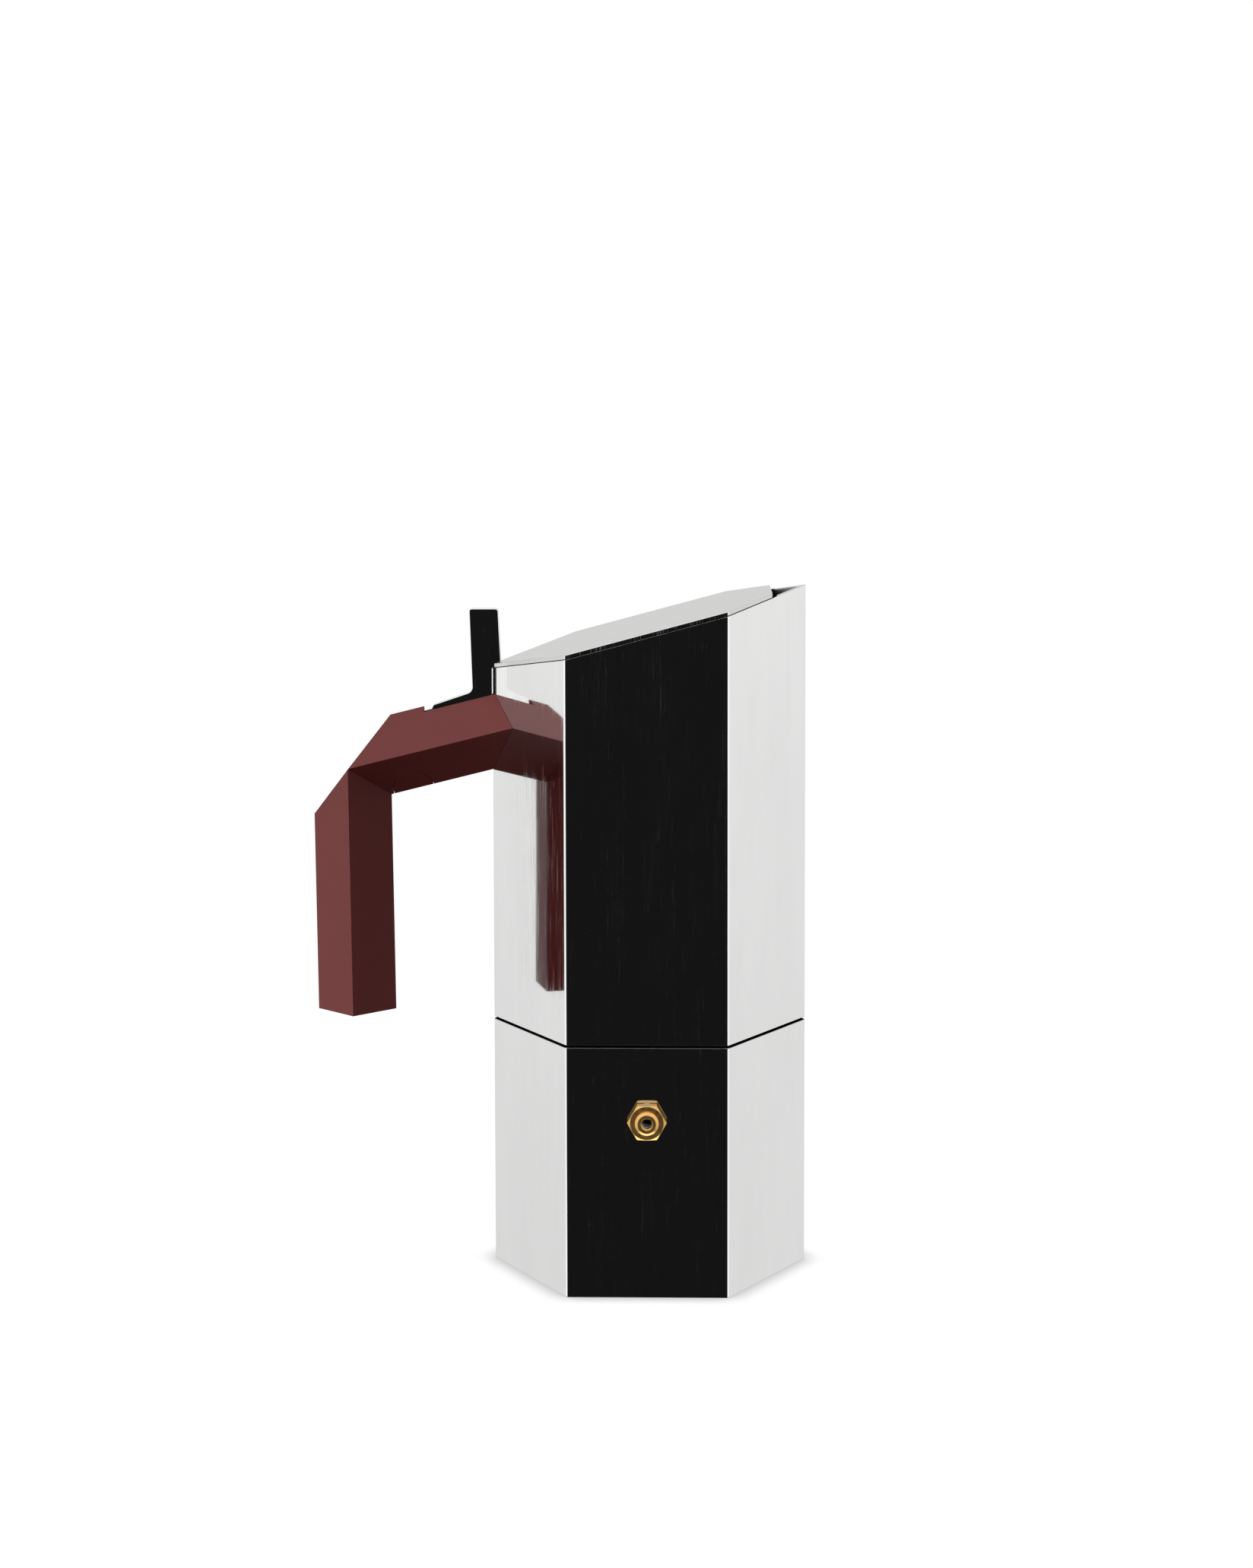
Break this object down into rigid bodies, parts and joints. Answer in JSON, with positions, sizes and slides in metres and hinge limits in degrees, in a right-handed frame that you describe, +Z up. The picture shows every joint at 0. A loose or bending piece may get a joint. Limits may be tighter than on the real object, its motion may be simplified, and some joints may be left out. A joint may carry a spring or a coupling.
{
  "type": "moka pot",
  "caption": "Hexagonal stove-top moka pot with slanted hinged lid, angular handle, brass safety valve, lift-out funnel and unscrewing collector.",
  "frame": {"origin": "centre of the hexagonal base", "axes": "+Z up along the body's axis, +X towards the spout, -X the handle, -Y the face with the safety valve"},
  "size_m": [0.1413, 0.083, 0.1963],
  "materials": {
    "boiler": "polished",
    "collector": "polished",
    "lid": "satin",
    "column": "cast",
    "funnel": "drawn",
    "perforated": "drawn",
    "handle": "matte",
    "brass": "machined",
    "seal": "matte",
    "steel": "machined"
  },
  "bodies": {
    "boiler": {"boiler": "boiler", "valve_body": "brass", "valve_washer": "seal", "valve_retainer": "brass", "valve_spring": "steel"},
    "valve_plunger": {"valve_plunger": "brass", "valve_seal": "seal"},
    "funnel": {"funnel": "funnel", "funnel_screen": "perforated"},
    "gasket": {"gasket": "seal", "filter_plate": "perforated"},
    "column": {"column": "column"},
    "collector": {"collector": "collector", "handle": "handle", "handle_screw": "steel", "handle_lock_washer": "steel", "handle_screw_cap": "handle", "hinge_pin": "steel"},
    "lid": {"lid": "lid"}
  },
  "joints": [
    {"name": "valve_travel", "type": "slide", "parent": "boiler", "child": "valve_plunger", "axis": [0, -1, 0], "range_m": [0, 0.0015], "stiffness_N_per_m": 500, "springref_m": -0.002, "deforming": ["valve_spring"]},
    {"name": "funnel_lift", "type": "slide", "parent": "boiler", "child": "funnel", "axis": [0, 0, 1], "range_m": [0, 0.08]},
    {"name": "collector_lift", "type": "slide", "parent": "funnel", "child": "gasket", "axis": [0, 0, 1], "range_m": [0, 0.05]},
    {"name": "thread_rise", "type": "slide", "parent": "gasket", "child": "column", "axis": [0, 0, 1], "range_m": [0, 0.01]},
    {"name": "collector_unscrew", "type": "hinge", "parent": "column", "child": "collector", "pos_m": [0, 0, 0.0755], "axis": [0, 0, 1], "range_deg": [0, 1200]},
    {"name": "lid_hinge", "type": "hinge", "parent": "collector", "child": "lid", "pos_m": [-0.0589, 0, 0.1578], "axis": [0, -1, 0], "range_deg": [0, 82]}
  ],
  "couplings": [
    {"joint": "thread_rise", "follows": "collector_unscrew", "m_per_rad": 0.00047746}
  ]
}
